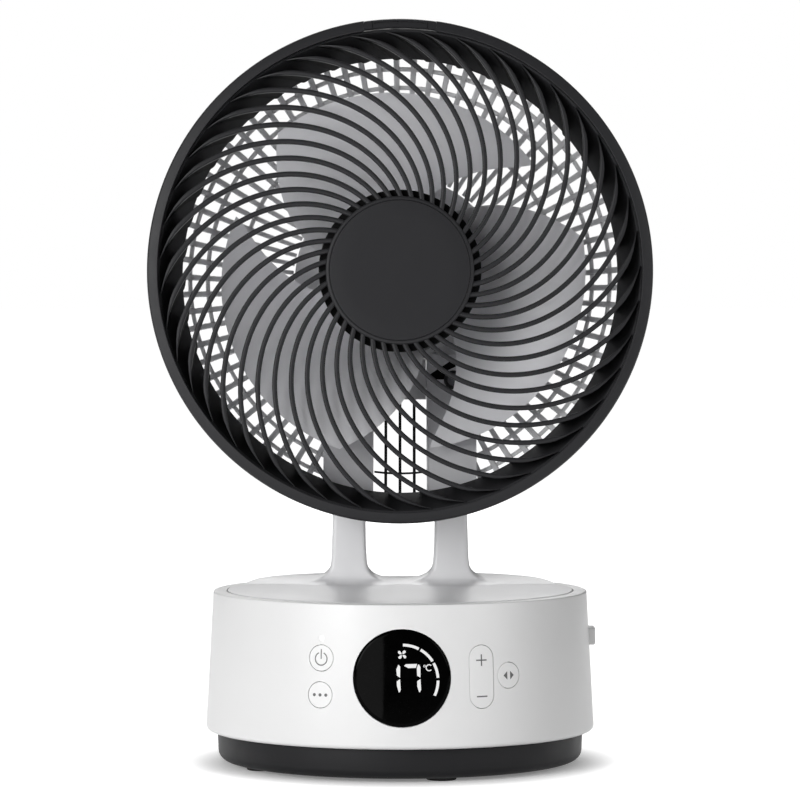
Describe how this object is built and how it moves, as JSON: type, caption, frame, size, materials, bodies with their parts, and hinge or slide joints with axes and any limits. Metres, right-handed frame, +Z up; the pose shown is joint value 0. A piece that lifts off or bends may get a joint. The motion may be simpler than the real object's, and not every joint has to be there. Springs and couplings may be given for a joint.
{
  "type": "air circulator fan",
  "caption": "Table-top air circulator with a round base and key panel, a swinging turntable, a two-legged arm and a tilting head with a spiral front grille and bladed impeller.",
  "frame": {"origin": "centre of the base on the floor", "axes": "+Z up, front of the fan towards -Y, +X to the viewer's right"},
  "size_m": [0.2794, 0.2178, 0.415],
  "materials": {
    "shell_white": "satin moulded, very fine texture",
    "arm_white": "satin moulded",
    "grille_white": "satin moulded",
    "grille_black": "satin moulded",
    "badge_black": "fine matt",
    "pan_black": "satin moulded",
    "inlet_plastic": "satin moulded",
    "display_black": "polished lens",
    "led_white": "clear light guide",
    "blade_grey": "satin translucent grey",
    "foot_rubber": "matt",
    "nylon": "natural",
    "steel": "plated",
    "motor_steel": "plated",
    "copper": "enamelled copper wire",
    "board_green": "glass-epoxy board"
  },
  "bodies": {
    "base": {"base_pan": "pan_black", "base_shell": "shell_white", "foot_1": "foot_rubber", "foot_2": "foot_rubber", "foot_3": "foot_rubber", "foot_4": "foot_rubber", "foot_5": "foot_rubber", "display_lens": "display_black", "display_board": "board_green", "key_board_left": "board_green", "key_board_right": "board_green", "status_led": "led_white", "main_board": "board_green", "power_inlet": "inlet_plastic", "inlet_pin": "steel", "swing_motor": "motor_steel", "thrust_ring": "nylon"},
    "turntable": {"turntable_disc": "arm_white", "turntable_gear": "nylon", "arm": "arm_white"},
    "pinion": {"swing_pinion": "nylon"},
    "head": {"front_grille": "grille_black", "centre_badge": "badge_black", "rear_grille": "grille_white", "slot_guard": "grille_black", "rear_cover": "grille_white", "tilt_housing": "arm_white", "pivot_pin_left": "steel", "pivot_pin_right": "steel", "friction_washer_left": "nylon", "friction_washer_right": "nylon", "pivot_cap_left": "steel", "pivot_cap_right": "steel", "grille_screw_left": "steel", "grille_screw_right": "steel", "motor_housing": "motor_steel", "motor_cap": "motor_steel", "stator": "copper", "front_bearing": "steel", "rear_bearing": "steel"},
    "latch": {"grille_clip": "grille_black"},
    "fan": {"impeller": "blade_grey", "motor_shaft": "steel", "rotor": "motor_steel", "blade_nut": "grille_black"},
    "power_key": {"key_power": "shell_white"},
    "mode_key": {"key_mode": "shell_white"},
    "swing_key": {"key_swing": "shell_white"},
    "speed_key": {"key_speed": "shell_white"}
  },
  "joints": [
    {"name": "turntable_swing", "type": "hinge", "parent": "base", "child": "turntable", "pos_m": [0, 0, 0.09], "axis": [0, 0, 1], "range_deg": [-45, 45]},
    {"name": "pinion_turn", "type": "hinge", "parent": "base", "child": "pinion", "pos_m": [-0.044, 0, 0.074], "axis": [0, 0, 1], "range_deg": [-153, 153]},
    {"name": "head_tilt", "type": "hinge", "parent": "turntable", "child": "head", "pos_m": [0, 0.052, 0.213], "axis": [-1, 0, 0], "range_deg": [-14, 76]},
    {"name": "fan_spin", "type": "hinge", "parent": "head", "child": "fan", "pos_m": [0, -0.03982, 0.27606], "axis": [0, -0.9976, 0.0698], "continuous": true},
    {"name": "latch_press", "type": "slide", "parent": "head", "child": "latch", "axis": [0, -0.0698, -0.9976], "range_m": [0, 0.0015], "stiffness_N_per_m": 600},
    {"name": "power_press", "type": "slide", "parent": "base", "child": "power_key", "axis": [0.3987, 0.9171, 0], "range_m": [0, 0.0008], "stiffness_N_per_m": 1200},
    {"name": "mode_press", "type": "slide", "parent": "base", "child": "mode_key", "axis": [0.4003, 0.9164, 0], "range_m": [0, 0.0008], "stiffness_N_per_m": 1200},
    {"name": "swing_press", "type": "slide", "parent": "base", "child": "swing_key", "axis": [-0.549, 0.8358, 0], "range_m": [0, 0.0008], "stiffness_N_per_m": 1200},
    {"name": "speed_rock", "type": "hinge", "parent": "base", "child": "speed_key", "pos_m": [0.04303, -0.0953, 0.0572], "axis": [0.9114, 0.4115, 0], "range_deg": [-2, 2], "stiffness_Nm_per_rad": 0.4}
  ],
  "couplings": [
    {"joint": "pinion_turn", "follows": "turntable_swing", "ratio": -3.4}
  ]
}
